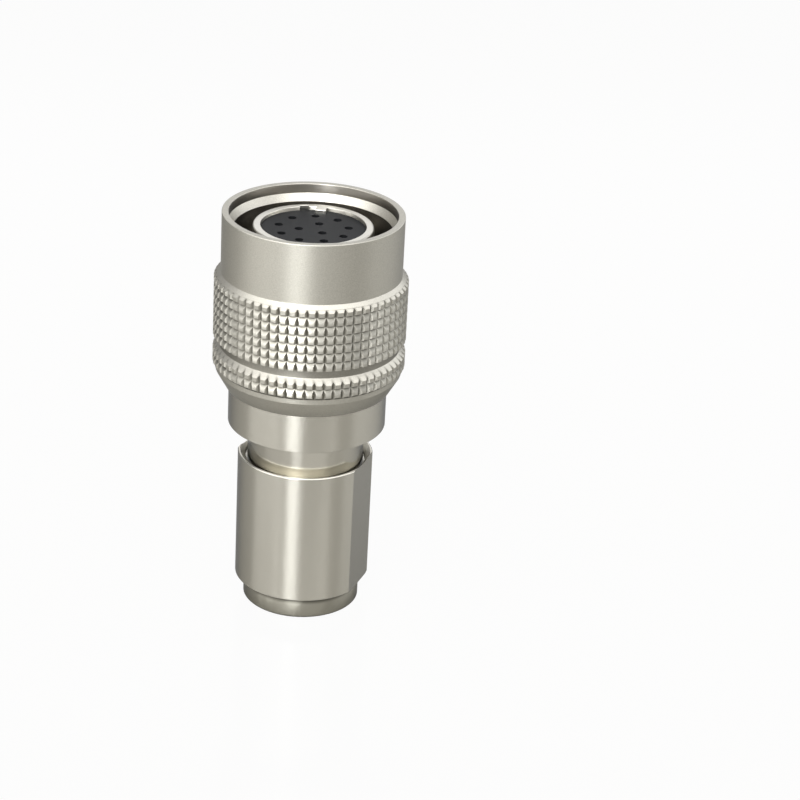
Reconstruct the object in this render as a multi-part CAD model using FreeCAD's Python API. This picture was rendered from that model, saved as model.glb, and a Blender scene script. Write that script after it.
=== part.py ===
import FreeCAD, Part
import math
import os

# Push pull circular plug with twelve socket contacts, in millimetres.
# It stands on its cable end: the origin is the centre of that end, and +Z points to the mating end.

# Lengths along the axis, from the cable end up
TAIL_LENGTH = 1.8
SHELL_LENGTH = 10.9
NECK_LENGTH = 2.65
BARREL_SHOWING = 3.15
TAPER_LENGTH = 1.419

# Coupling sleeve
RIM_WALL = 0.53
SLEEVE_TRAVEL = 2.0
RIM_CHAMFER = 0.17
MOUTH_STEP = 0.37
MOUTH_DEPTH = 0.75
LEAD_IN_LENGTH = 0.58
COUPLING_GAP = 1.45
COUPLING_DEPTH = 6.7
FLANGE_THICKNESS = 1.5

# Knurl of the sleeve: rings crossed by straight grooves
KNURL_FROM_MOUTH = 4.74
KNURL_RISE = 0.5
KNURL_SINK = 0.05
KNURL_COLUMNS = 64
GROOVE_DEPTH = 0.2
GROOVE_HALF_ANGLE = 40.0
RING_PITCH = 0.733
RING_CREST = 0.3
RING_UNDERSIDE = 0.1
FRONT_RINGS = 7
REAR_RINGS = 2
GRIP_GROOVE_DEPTH = 0.43
GRIP_GROOVE_FLOOR = 0.75
LIP_DROP = 0.23
LIP_LENGTH = 0.4
TAIL_END_WALL = 0.19

# Plug body
LAND_WALL = 0.63
SPRING_SHOULDER = 0.9
NECK_STEP = 1.6
TUBE_STEP = 0.43
TUBE_WALL = 0.67
BODY_SEAT_DEPTH = 9.0
NECK_ENGAGEMENT = 0.7

# Inner shell and its keys
INNER_SHELL_WALL = 0.6
INNER_SHELL_RECESS = 1.0
REAR_BORE_STEP = 0.2
KEY_ANGLE = 103.0
KEY_WIDTH = 0.8
KEY_HEIGHT = 0.7
NOTCH_ANGLE = 122.0
NOTCH_WIDTH = 0.7
NOTCH_DEPTH = 0.25

# Lock ring
LOCK_BASE_LENGTH = 0.8
LOCK_WALL = 0.32
CLAW_LENGTH = 2.9
CLAW_RELIEF = 0.13
CLAW_HOOK = 0.35
CLAW_HOOK_LENGTH = 0.6
CLAW_COUNT = 6
CLAW_SLOT = 1.5

# Return spring
SPRING_WIRE_R = 0.15
SPRING_TURNS = 4.5
SPRING_STEPS_PER_TURN = 16
SPRING_WIRE_SIDES = 6
SPRING_RESERVE = 0.25

# Insulators and the nut behind them
FACE_RECESS = 0.3
NOSE_LENGTH = 3.9
INSULATOR_FLANGE = 3.0
REAR_INSULATOR_LENGTH = 4.0
INSULATOR_NUT_LENGTH = 1.6
INSULATOR_NUT_WALL = 0.75
NUT_SLOT_WIDTH = 0.8
NUT_SLOT_DEPTH = 0.6

# Socket contacts: nine on the outer circle, three on the inner one
OUTER_CIRCLE_R = 2.72
OUTER_COUNT = 9
OUTER_START_ANGLE = -11.0
INNER_CIRCLE_SHARE = 0.4118
FACE_MARGIN = 1.33
INNER_COUNT = 3
INNER_START_ANGLE = 89.0
CONTACT_BORE_R = 0.33
CONTACT_WALL = 0.15
CONTACT_BORE_DEPTH = 4.6
FACE_SKIN = 0.5
COLLAR_R = 0.66
COLLAR_LENGTH = 0.8
SHANK_R = 0.44
SOLDER_CUP_LENGTH = 2.9
SOLDER_CUP_WALL = 0.13
SOLDER_CUP_DEPTH = 1.7
TINE_SLOT_WIDTH = 0.14
TINE_SLOT_LENGTH = 3.0
CONTACT_SIDES = 12

# Rear shell
THREAD_CLEARANCE = 0.03
REAR_SHELL_WALL = 1.15
FLAT_DEPTH = 0.39
RIM_OUTER_CHAMFER = 0.2
TAIL_EDGE_CHAMFER = 0.12
NECK_POCKET_GAP = 0.15
POCKET_CHAMFER = 0.2

# Cable clamp with its split tube, gasket and washer
TAIL_STEP = 0.7
TAIL_CHAMFER = 0.05
CABLE_STOP_WIDTH = 0.63
CLAMP_TUBE_LENGTH = 4.8
CLAMP_TUBE_WALL = 0.8
CLAMP_SLOTS = 4
CLAMP_SLOT_WIDTH = 0.6
CLAMP_SLOT_FLOOR = 0.9
GASKET_WALL = 0.96
GASKET_SHORT_BY = 0.2
WASHER_THICKNESS = 0.4
WASHER_OVERLAP = 0.28

# Set screw, on the side between the wrench flats
SCREW_ANGLE = 90.0
SCREW_R = 0.8
SCREW_HEIGHT = 2.6
SCREW_RECESS = 0.15
SCREW_SLOT_WIDTH = 0.26
SCREW_SLOT_DEPTH = 0.35
COUNTERSINK = 0.25

# Clearances
RUNNING_CLEARANCE = 0.06
SEAT_CLEARANCE = 0.02
STOP_GAP = 0.02
EDGE_BREAK = 0.1
CUT_MARGIN = 1.0

# Levels that follow from the lengths
FRONT_BAND_LENGTH = KNURL_RISE + RING_CREST + (FRONT_RINGS - 1) * RING_PITCH
REAR_BAND_LENGTH = GRIP_GROOVE_DEPTH + RING_CREST + (REAR_RINGS - 1) * RING_PITCH + LIP_DROP
SLEEVE_LENGTH = KNURL_FROM_MOUTH + FRONT_BAND_LENGTH + GRIP_GROOVE_FLOOR + REAR_BAND_LENGTH
SLEEVE_LENGTH = SLEEVE_LENGTH + LIP_LENGTH + TAPER_LENGTH
SHELL_BOTTOM = TAIL_LENGTH
SHELL_TOP = SHELL_BOTTOM + SHELL_LENGTH
BARREL_BOTTOM = SHELL_TOP + NECK_LENGTH
SLEEVE_BOTTOM = BARREL_BOTTOM + BARREL_SHOWING
SLEEVE_TOP = SLEEVE_BOTTOM + SLEEVE_LENGTH
BODY_TOP = SLEEVE_TOP - COUPLING_DEPTH
FLANGE_TOP = BODY_TOP - STOP_GAP
FLANGE_BOTTOM = FLANGE_TOP - FLANGE_THICKNESS
SPRING_SEAT = FLANGE_BOTTOM - SLEEVE_TRAVEL - SPRING_TURNS * 2 * SPRING_WIRE_R - SPRING_RESERVE
BODY_SEAT = BODY_TOP - BODY_SEAT_DEPTH
NECK_FOOT = SHELL_TOP - NECK_ENGAGEMENT
CLAMP_TUBE_TOP = SHELL_BOTTOM + CLAMP_TUBE_LENGTH
BODY_BOTTOM = CLAMP_TUBE_TOP + WASHER_THICKNESS
INNER_SHELL_TOP = SLEEVE_TOP - INNER_SHELL_RECESS
INSULATOR_FACE = INNER_SHELL_TOP - FACE_RECESS
BORE_STEP = INSULATOR_FACE - NOSE_LENGTH
INSULATOR_SPLIT = BORE_STEP - INSULATOR_FLANGE
INSULATOR_REAR = INSULATOR_SPLIT - REAR_INSULATOR_LENGTH
INSULATOR_NUT_BOTTOM = INSULATOR_REAR - INSULATOR_NUT_LENGTH

# Radii that follow from the contacts' circle outwards
INNER_CIRCLE_R = OUTER_CIRCLE_R * INNER_CIRCLE_SHARE
CONTACT_R = CONTACT_BORE_R + CONTACT_WALL
INNER_BORE_R = OUTER_CIRCLE_R + FACE_MARGIN
REAR_BORE_R = INNER_BORE_R + REAR_BORE_STEP
INNER_SHELL_R = INNER_BORE_R + INNER_SHELL_WALL
FRONT_LAND_R = INNER_SHELL_R + SEAT_CLEARANCE + LAND_WALL
BARREL_R = FRONT_LAND_R + SPRING_SHOULDER
GUIDE_R = BARREL_R + RUNNING_CLEARANCE
TAPER_END_R = GUIDE_R + TAIL_END_WALL
FRONT_BORE_R = INNER_SHELL_R + COUPLING_GAP
MOUTH_R = FRONT_BORE_R + MOUTH_STEP
SLEEVE_FRONT_R = MOUTH_R + RIM_WALL
KNURL_R = SLEEVE_FRONT_R + KNURL_RISE

# Radii that follow from the barrel inwards to the cable
NECK_R = BARREL_R - NECK_STEP
BODY_TUBE_R = NECK_R - TUBE_STEP
WIRE_BORE_R = BODY_TUBE_R - TUBE_WALL
REAR_SHELL_BORE_R = BODY_TUBE_R + THREAD_CLEARANCE
REAR_SHELL_R = REAR_SHELL_BORE_R + REAR_SHELL_WALL
TAIL_R = REAR_SHELL_R - TAIL_STEP
CLAMP_TUBE_R = REAR_SHELL_BORE_R - SEAT_CLEARANCE
CLAMP_BORE_R = CLAMP_TUBE_R - CLAMP_TUBE_WALL
CABLE_ENTRY_R = CLAMP_BORE_R - CABLE_STOP_WIDTH
WASHER_BORE_R = CLAMP_BORE_R - WASHER_OVERLAP

UP = FreeCAD.Vector(0, 0, 1)
CENTRE = FreeCAD.Vector(0, 0, 0)


def turned(outline):
    """A turned piece from its half section, given as (radius, height) corners in order."""
    corners = [FreeCAD.Vector(radius, 0, height) for radius, height in outline]
    section = Part.Face(Part.makePolygon(corners + corners[:1]))
    return section.revolve(CENTRE, UP, 360)


def rod(radius, bottom, top, x=0.0, y=0.0):
    """A round rod along Z at (x, y)."""
    return Part.makeCylinder(radius, top - bottom, FreeCAD.Vector(x, y, bottom), UP)


def fine_rod(radius, bottom, top, x, y):
    """A rod with flat sides, for the hidden contacts and their channels, which repeat and stay light."""
    corners = []
    for i in range(CONTACT_SIDES):
        across, along = at_angle(radius, i * 360.0 / CONTACT_SIDES)
        corners.append(FreeCAD.Vector(x + across, y + along, bottom))
    return Part.Face(Part.makePolygon(corners + corners[:1])).extrude(UP * (top - bottom))


def bar(angle, inner, outer, width, bottom, top):
    """A straight bar that runs outwards at an angle about the axis."""
    piece = Part.makeBox(outer - inner, width, top - bottom, FreeCAD.Vector(inner, -width / 2, bottom))
    piece.rotate(CENTRE, UP, angle)
    return piece


def at_angle(radius, angle):
    """The point at a radius and an angle in degrees about the axis."""
    turn = math.radians(angle)
    return radius * math.cos(turn), radius * math.sin(turn)


def contact_places():
    """The places of the contacts, outer circle first."""
    outer_step = 360.0 / OUTER_COUNT
    inner_step = 360.0 / INNER_COUNT
    outer = [at_angle(OUTER_CIRCLE_R, OUTER_START_ANGLE + i * outer_step) for i in range(OUTER_COUNT)]
    inner = [at_angle(INNER_CIRCLE_R, INNER_START_ANGLE + i * inner_step) for i in range(INNER_COUNT)]
    return outer + inner


def knurl_rings(top, count):
    """Half section of a stack of rings, from the lower edge of the top crest down."""
    outline = []
    root_r = KNURL_R - GROOVE_DEPTH
    for i in range(count - 1):
        crest_bottom = top - i * RING_PITCH
        outline.append((KNURL_R, crest_bottom))
        outline.append((root_r, crest_bottom - RING_UNDERSIDE))
        outline.append((KNURL_R, crest_bottom - RING_PITCH + RING_CREST))
    outline.append((KNURL_R, top - (count - 1) * RING_PITCH))
    return outline


def knurl_column(outline):
    """One column of teeth: the band's half section, trimmed by the V grooves on both sides of it."""
    half_step = math.pi / KNURL_COLUMNS
    root_r = KNURL_R - GROOVE_DEPTH
    inner_r = min(radius for radius, height in outline)
    bottom = min(height for radius, height in outline) - CUT_MARGIN
    top = max(height for radius, height in outline) + CUT_MARGIN
    outer_r = KNURL_R + GROOVE_DEPTH
    foot = inner_r * math.tan(half_step)
    root = root_r * math.tan(half_step)
    tip = root + (outer_r - root_r) * math.tan(half_step - math.radians(GROOVE_HALF_ANGLE))
    corners = [(inner_r, -foot), (root_r, -root), (outer_r, -tip)]
    corners += [(outer_r, tip), (root_r, root), (inner_r, foot)]
    section = [FreeCAD.Vector(x, y, bottom) for x, y in corners]
    column = Part.Face(Part.makePolygon(section + section[:1])).extrude(UP * (top - bottom))
    side = [FreeCAD.Vector(radius, -root, height) for radius, height in outline]
    band = Part.Face(Part.makePolygon(side + side[:1])).extrude(FreeCAD.Vector(0, 2 * root, 0))
    return column.common(band)


def all_round(piece):
    """Copies of one knurl column all the way round."""
    copies = []
    for i in range(KNURL_COLUMNS):
        copy = piece.copy()
        copy.rotate(CENTRE, UP, i * 360.0 / KNURL_COLUMNS)
        copies.append(copy)
    return copies


def coupling_sleeve():
    """One turned sleeve: smooth front, knurled grip in two bands, tapered tail, flange inside."""
    knurl_top = SLEEVE_TOP - KNURL_FROM_MOUTH
    front_band = knurl_rings(knurl_top - KNURL_RISE - RING_CREST, FRONT_RINGS)
    floor_r = KNURL_R - GRIP_GROOVE_DEPTH
    floor_top = front_band[-1][1]
    floor_bottom = floor_top - GRIP_GROOVE_FLOOR
    rear_crest_top = floor_bottom - GRIP_GROOVE_DEPTH
    rear_band = knurl_rings(rear_crest_top - RING_CREST, REAR_RINGS)
    lip_r = KNURL_R - LIP_DROP
    lip_top = rear_band[-1][1] - LIP_DROP
    flange_r = FRONT_LAND_R + RUNNING_CLEARANCE
    outline = [(MOUTH_R, SLEEVE_TOP), (SLEEVE_FRONT_R - RIM_CHAMFER, SLEEVE_TOP)]
    outline += [(SLEEVE_FRONT_R, SLEEVE_TOP - RIM_CHAMFER), (SLEEVE_FRONT_R, floor_top), (floor_r, floor_top)]
    outline += [(floor_r, lip_top), (lip_r, lip_top), (lip_r, lip_top - LIP_LENGTH)]
    outline += [(TAPER_END_R, SLEEVE_BOTTOM), (GUIDE_R, SLEEVE_BOTTOM), (GUIDE_R, FLANGE_BOTTOM)]
    outline += [(flange_r, FLANGE_BOTTOM), (flange_r, FLANGE_TOP), (FRONT_BORE_R, FLANGE_TOP)]
    mouth_floor = SLEEVE_TOP - MOUTH_DEPTH
    outline += [(FRONT_BORE_R, mouth_floor - LEAD_IN_LENGTH), (MOUTH_R, mouth_floor)]
    core_r = SLEEVE_FRONT_R - KNURL_SINK
    chamfer_start = knurl_top + KNURL_SINK
    front = [(core_r, floor_top), (core_r, chamfer_start), (KNURL_R, knurl_top - KNURL_RISE)] + front_band
    rear = [(core_r, lip_top - KNURL_SINK), (core_r, floor_bottom + floor_r - core_r)]
    rear += [(KNURL_R, rear_crest_top)] + rear_band + [(lip_r - KNURL_SINK, lip_top - KNURL_SINK)]
    columns = all_round(knurl_column(front)) + all_round(knurl_column(rear))
    return turned(outline).multiFuse(columns).removeSplitter()


def plug_body():
    """The turned body: barrel, neck, rear tube, and the front land that guides the sleeve's flange."""
    seat_r = INNER_SHELL_R + SEAT_CLEARANCE
    outline = [(WIRE_BORE_R, BODY_BOTTOM), (BODY_TUBE_R, BODY_BOTTOM), (BODY_TUBE_R, NECK_FOOT)]
    outline += [(NECK_R, NECK_FOOT), (NECK_R, BARREL_BOTTOM), (BARREL_R, BARREL_BOTTOM)]
    outline += [(BARREL_R, SPRING_SEAT), (FRONT_LAND_R, SPRING_SEAT), (FRONT_LAND_R, BODY_TOP)]
    outline += [(seat_r, BODY_TOP), (seat_r, BODY_SEAT), (WIRE_BORE_R, BODY_SEAT)]
    return turned(outline)


def inner_shell():
    """The thin shell round the insulator, with one key inside its mouth and a notch beside it."""
    outline = [(REAR_BORE_R, BODY_SEAT), (INNER_SHELL_R, BODY_SEAT)]
    outline += [(INNER_SHELL_R, INNER_SHELL_TOP - EDGE_BREAK), (INNER_SHELL_R - EDGE_BREAK, INNER_SHELL_TOP)]
    outline += [(INNER_BORE_R, INNER_SHELL_TOP), (INNER_BORE_R, BORE_STEP), (REAR_BORE_R, BORE_STEP)]
    shell = turned(outline)
    key_root_r = INNER_BORE_R + INNER_SHELL_WALL / 2
    key = bar(KEY_ANGLE, INNER_BORE_R - KEY_HEIGHT, key_root_r, KEY_WIDTH, BORE_STEP, INNER_SHELL_TOP)
    notch = bar(NOTCH_ANGLE, 0, INNER_BORE_R + NOTCH_DEPTH, NOTCH_WIDTH, BORE_STEP, INNER_SHELL_TOP)
    return shell.fuse(key).cut(notch).removeSplitter()


def lock_ring():
    """The spring ring that snaps into the mating shell: a base with hooked claws."""
    base_inner = INNER_SHELL_R + SEAT_CLEARANCE
    base_outer = FRONT_BORE_R - COUPLING_GAP / 8
    base_top = BODY_TOP + LOCK_BASE_LENGTH
    claw_inner = base_inner + CLAW_RELIEF
    claw_outer = claw_inner + LOCK_WALL
    claw_top = base_top + CLAW_LENGTH
    hook_bottom = claw_top - CLAW_HOOK_LENGTH
    outline = [(base_inner, BODY_TOP), (base_outer, BODY_TOP), (base_outer, base_top), (claw_outer, base_top)]
    outline += [(claw_outer, hook_bottom - CLAW_HOOK), (claw_outer + CLAW_HOOK, hook_bottom)]
    outline += [(claw_outer, claw_top), (claw_inner, claw_top), (claw_inner, base_top)]
    outline.append((base_inner, base_top))
    ring = turned(outline)
    slots = []
    for i in range(CLAW_COUNT):
        angle = i * 360.0 / CLAW_COUNT
        slots.append(bar(angle, 0, FRONT_BORE_R, CLAW_SLOT, base_top, claw_top + CUT_MARGIN))
    return ring.cut(slots)


def return_spring():
    """A wire spring between the barrel's shoulder and the sleeve's flange, in short straight lengths."""
    bottom = SPRING_SEAT + SPRING_WIRE_R + STOP_GAP
    rise = FLANGE_BOTTOM - SPRING_WIRE_R - STOP_GAP - bottom
    coil_r = (FRONT_LAND_R + GUIDE_R) / 2
    steps = int(SPRING_TURNS * SPRING_STEPS_PER_TURN)
    dead_steps = SPRING_STEPS_PER_TURN
    points = []
    for i in range(steps + 1):
        live = min(max(i - dead_steps / 2, 0), steps - dead_steps) / (steps - dead_steps)
        x, y = at_angle(coil_r, i * 360.0 / SPRING_STEPS_PER_TURN)
        points.append(FreeCAD.Vector(x, y, bottom + rise * live))
    along = points[1] - points[0]
    sides = Part.makeCircle(SPRING_WIRE_R, points[0], along).discretize(SPRING_WIRE_SIDES + 1)
    section = Part.makePolygon(sides)
    return Part.makePolygon(points).makePipeShell([section], True, False, 1)


def insulator_front():
    """The front insulator: the face that shows, a hole for each contact, and the keys' channels."""
    nose_r = INNER_BORE_R - SEAT_CLEARANCE
    flange_r = REAR_BORE_R - SEAT_CLEARANCE
    body = rod(nose_r, BORE_STEP, INSULATOR_FACE).fuse(rod(flange_r, INSULATOR_SPLIT, BORE_STEP))
    key_inner = INNER_BORE_R - KEY_HEIGHT - SEAT_CLEARANCE
    key_width = KEY_WIDTH + 2 * SEAT_CLEARANCE
    body = body.cut(bar(KEY_ANGLE, key_inner, REAR_BORE_R, key_width, BORE_STEP, INSULATOR_FACE))
    skin_bottom = INSULATOR_FACE - FACE_SKIN
    holes = []
    for x, y in contact_places():
        holes.append(rod(CONTACT_BORE_R, skin_bottom, INSULATOR_FACE, x, y))
        holes.append(fine_rod(CONTACT_R + SEAT_CLEARANCE, INSULATOR_SPLIT, skin_bottom, x, y))
    return body.removeSplitter().cut(holes)


def insulator_rear():
    """The rear insulator, which traps the contacts' collars against the front one."""
    body = rod(REAR_BORE_R - SEAT_CLEARANCE, INSULATOR_REAR, INSULATOR_SPLIT)
    collar_bottom = INSULATOR_SPLIT - COLLAR_LENGTH
    holes = []
    for x, y in contact_places():
        holes.append(fine_rod(COLLAR_R + SEAT_CLEARANCE, collar_bottom, INSULATOR_SPLIT, x, y))
        holes.append(fine_rod(SHANK_R + SEAT_CLEARANCE, INSULATOR_REAR, collar_bottom, x, y))
    return body.cut(holes)


def insulator_nut():
    """The threaded ring that holds the insulators against the step, with two spanner slots."""
    outer_r = REAR_BORE_R - SEAT_CLEARANCE
    inner_r = outer_r - INSULATOR_NUT_WALL
    outline = [(inner_r, INSULATOR_NUT_BOTTOM), (outer_r, INSULATOR_NUT_BOTTOM), (outer_r, INSULATOR_REAR)]
    outline += [(inner_r, INSULATOR_REAR)]
    slot_top = INSULATOR_NUT_BOTTOM + NUT_SLOT_DEPTH
    slots = [bar(angle, 0, REAR_BORE_R, NUT_SLOT_WIDTH, INSULATOR_NUT_BOTTOM, slot_top) for angle in (0, 180)]
    return turned(outline).cut(slots)


def socket_contact(x, y):
    """A socket contact: split tines, collar, shank and solder cup."""
    top = INSULATOR_FACE - FACE_SKIN - SEAT_CLEARANCE
    collar_bottom = INSULATOR_SPLIT - COLLAR_LENGTH
    bottom = INSULATOR_REAR - SOLDER_CUP_LENGTH
    contact = fine_rod(SHANK_R, bottom, collar_bottom, x, y)
    contact = contact.fuse(fine_rod(COLLAR_R, collar_bottom, INSULATOR_SPLIT, x, y))
    contact = contact.fuse(fine_rod(CONTACT_R, INSULATOR_SPLIT, top, x, y))
    bore = fine_rod(CONTACT_BORE_R, top - CONTACT_BORE_DEPTH, top, x, y)
    cup = fine_rod(SHANK_R - SOLDER_CUP_WALL, bottom, bottom + SOLDER_CUP_DEPTH, x, y)
    slot = Part.makeBox(2 * CONTACT_R, TINE_SLOT_WIDTH, TINE_SLOT_LENGTH,
                        FreeCAD.Vector(x - CONTACT_R, y - TINE_SLOT_WIDTH / 2, top - TINE_SLOT_LENGTH))
    return contact.cut([bore, cup, slot])


def screw_axis_cylinder(radius, inner, outer):
    """A cylinder on the set screw's axis, from one distance from the plug's axis to another."""
    height = SHELL_BOTTOM + SCREW_HEIGHT
    start = FreeCAD.Vector(inner, 0, height)
    piece = Part.makeCylinder(radius, outer - inner, start, FreeCAD.Vector(1, 0, 0))
    piece.rotate(CENTRE, UP, SCREW_ANGLE)
    return piece


def countersink():
    """The chamfer at the mouth of the set screw's hole."""
    height = SHELL_BOTTOM + SCREW_HEIGHT
    inner = REAR_SHELL_R - COUNTERSINK
    hole_r = SCREW_R + SEAT_CLEARANCE
    start = FreeCAD.Vector(inner, 0, height)
    cone = Part.makeCone(hole_r, hole_r + 2 * COUNTERSINK, 2 * COUNTERSINK, start, FreeCAD.Vector(1, 0, 0))
    cone.rotate(CENTRE, UP, SCREW_ANGLE)
    return cone


def rear_shell():
    """The rear shell: a tube with two wrench flats, a pocket for the neck and the set screw's hole."""
    pocket_r = NECK_R + NECK_POCKET_GAP
    pocket_mouth = SHELL_TOP - POCKET_CHAMFER
    outline = [(REAR_SHELL_BORE_R, SHELL_BOTTOM), (REAR_SHELL_R - TAIL_EDGE_CHAMFER, SHELL_BOTTOM)]
    outline += [(REAR_SHELL_R, SHELL_BOTTOM + TAIL_EDGE_CHAMFER)]
    outline += [(REAR_SHELL_R, SHELL_TOP - RIM_OUTER_CHAMFER), (REAR_SHELL_R - RIM_OUTER_CHAMFER, SHELL_TOP)]
    outline += [(pocket_r + POCKET_CHAMFER, SHELL_TOP)]
    outline += [(pocket_r, pocket_mouth), (pocket_r, NECK_FOOT), (REAR_SHELL_BORE_R, NECK_FOOT)]
    shell = turned(outline)
    flat = REAR_SHELL_R - FLAT_DEPTH
    outside = REAR_SHELL_R + CUT_MARGIN
    sides = [bar(angle, flat, outside, 2 * REAR_SHELL_R, SHELL_BOTTOM, SHELL_TOP) for angle in (0, 180)]
    hole = screw_axis_cylinder(SCREW_R + SEAT_CLEARANCE, 0, outside)
    return shell.cut(sides + [hole, countersink()])


def set_screw():
    """The slotted set screw that presses on the cable clamp's tube."""
    outer = REAR_SHELL_R - SCREW_RECESS
    screw = screw_axis_cylinder(SCREW_R, CLAMP_TUBE_R + SEAT_CLEARANCE, outer)
    height = SHELL_BOTTOM + SCREW_HEIGHT
    slot = bar(SCREW_ANGLE, outer - SCREW_SLOT_DEPTH, outer + CUT_MARGIN, SCREW_SLOT_WIDTH,
               height - SCREW_R, height + SCREW_R)
    return screw.cut(slot)


def cable_clamp():
    """The tail ring that shows below the rear shell, with its split tube inside."""
    outline = [(CABLE_ENTRY_R + EDGE_BREAK, 0), (TAIL_R - TAIL_CHAMFER, 0), (TAIL_R, TAIL_CHAMFER)]
    outline += [(TAIL_R, SHELL_BOTTOM), (CLAMP_TUBE_R, SHELL_BOTTOM), (CLAMP_TUBE_R, CLAMP_TUBE_TOP)]
    outline += [(CLAMP_BORE_R, CLAMP_TUBE_TOP), (CLAMP_BORE_R, SHELL_BOTTOM), (CABLE_ENTRY_R, SHELL_BOTTOM)]
    outline += [(CABLE_ENTRY_R, EDGE_BREAK)]
    clamp = turned(outline)
    slot_bottom = SHELL_BOTTOM + CLAMP_SLOT_FLOOR
    slots = []
    for i in range(CLAMP_SLOTS):
        angle = SCREW_ANGLE + (i + 0.5) * 360.0 / CLAMP_SLOTS
        slots.append(bar(angle, 0, TAIL_R, CLAMP_SLOT_WIDTH, slot_bottom, CLAMP_TUBE_TOP))
    return clamp.cut(slots)


def cable_gasket():
    """The rubber bush that the clamp squeezes onto the cable."""
    outer_r = CLAMP_BORE_R - SEAT_CLEARANCE
    bore_r = outer_r - GASKET_WALL
    top = CLAMP_TUBE_TOP - GASKET_SHORT_BY
    outline = [(bore_r, SHELL_BOTTOM), (outer_r, SHELL_BOTTOM), (outer_r, top), (bore_r, top)]
    return turned(outline)


def clamp_washer():
    """The washer between the clamp's tube and the body's rear tube."""
    outer_r = REAR_SHELL_BORE_R - 2 * SEAT_CLEARANCE
    outline = [(WASHER_BORE_R, CLAMP_TUBE_TOP), (outer_r, CLAMP_TUBE_TOP), (outer_r, BODY_BOTTOM)]
    outline += [(WASHER_BORE_R, BODY_BOTTOM)]
    return turned(outline)


def save(name, shape):
    """Write one piece to its own file."""
    shape.exportStep(os.path.join("parts", name + ".step"))


def main():
    os.makedirs("parts", exist_ok=True)
    save("coupling_sleeve", coupling_sleeve())
    save("plug_body", plug_body())
    save("inner_shell", inner_shell())
    save("lock_ring", lock_ring())
    save("return_spring", return_spring())
    save("insulator_front", insulator_front())
    save("insulator_rear", insulator_rear())
    save("insulator_nut", insulator_nut())
    for number, (x, y) in enumerate(contact_places(), start=1):
        save("socket_contact_%02d" % number, socket_contact(x, y))
    save("rear_shell", rear_shell())
    save("cable_clamp", cable_clamp())
    save("cable_gasket", cable_gasket())
    save("clamp_washer", clamp_washer())
    save("set_screw", set_screw())


main()
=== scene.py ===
import math

import bmesh
import bpy
from bpy.props import FloatProperty, FloatVectorProperty, IntProperty, PointerProperty
from bpy.types import Operator, Panel, PropertyGroup
from mathutils import Matrix, Vector


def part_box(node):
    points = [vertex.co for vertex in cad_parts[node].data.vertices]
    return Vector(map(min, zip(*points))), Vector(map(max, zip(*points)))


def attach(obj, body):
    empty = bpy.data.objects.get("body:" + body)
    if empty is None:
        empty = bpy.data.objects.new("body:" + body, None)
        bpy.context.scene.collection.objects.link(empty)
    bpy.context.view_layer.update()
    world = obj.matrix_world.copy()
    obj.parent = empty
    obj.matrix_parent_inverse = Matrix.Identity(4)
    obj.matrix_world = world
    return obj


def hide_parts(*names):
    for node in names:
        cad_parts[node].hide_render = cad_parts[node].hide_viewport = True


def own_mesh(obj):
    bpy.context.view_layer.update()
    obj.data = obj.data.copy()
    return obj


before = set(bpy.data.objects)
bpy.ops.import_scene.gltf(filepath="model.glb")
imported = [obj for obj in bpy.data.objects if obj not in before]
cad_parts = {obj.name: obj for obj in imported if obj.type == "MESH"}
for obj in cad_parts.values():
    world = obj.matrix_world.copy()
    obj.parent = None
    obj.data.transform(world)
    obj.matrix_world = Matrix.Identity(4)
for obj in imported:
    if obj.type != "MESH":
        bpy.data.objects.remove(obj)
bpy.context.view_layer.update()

bl_info = {
    "name": "Push Pull Circular Plug",
    "version": (1, 0, 0),
    "blender": (4, 5, 0),
    "location": "3D View > Sidebar > Plug",
    "description": "Dresses the pieces of a push pull circular plug and sets its stage",
    "category": "Object",
}

MM = 0.001
SLEEVE_LOW, SLEEVE_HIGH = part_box("coupling_sleeve")
BODY_LOW, BODY_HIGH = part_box("plug_body")
SHELL_LOW, SHELL_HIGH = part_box("rear_shell")
SPRING_LOW, SPRING_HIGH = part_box("return_spring")
CONTACTS = ["socket_contact_%02d" % number for number in range(1, 13)]

# Two points or radii this close are taken as one.
NEAR = 0.001 * MM
# Edges that turn by more than this stay sharp, on a turned mesh and after a cut.
SHARP_TURNED_EDGE = math.radians(38)
SHARP_CUT_EDGE = math.radians(25)
# Faces across one column of teeth.
ACROSS = 4
# The share of painted shade in the grip groove, in the knurl's roots and between their columns.
GROOVE_PAINTED_SHADE = 0.5
ROOT_PAINTED_SHADE = 1.0
COLUMN_PAINTED_SHADE = 0.6
# The grains left by blasting and plating are 0.03 to 0.05 mm wide, too fine to show.
# They are drawn as wide as one pixel of the picture.
METAL_GRAIN = 0.08 * MM
# The grain that a mould leaves is about 0.05 mm wide, too fine to show, so it is drawn coarser.
MOULD_GRAIN = 0.25 * MM
# The tint of the front strip and the right softbox, a little cooler than the others.
COOL_WHITE = (0.96, 0.98, 1.0)


def length(label, about, millimetres):
    """A size of a piece, kept in metres."""
    return FloatProperty(name=label, description=about, default=millimetres * MM, precision=5,
                         unit="LENGTH", subtype="DISTANCE")


def linear(code):
    """A linear colour from an sRGB hex code such as #A0B1C2."""
    channels = [int(code[place:place + 2], 16) / 255 for place in (1, 3, 5)]
    return [c / 12.92 if c <= 0.04045 else ((c + 0.055) / 1.055) ** 2.4 for c in channels]


def colour(label, about, code):
    """A colour of a finish, from its sRGB hex code."""
    return FloatVectorProperty(name=label, description=about, default=linear(code), size=3,
                               min=0.0, max=1.0, subtype="COLOR")


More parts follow.
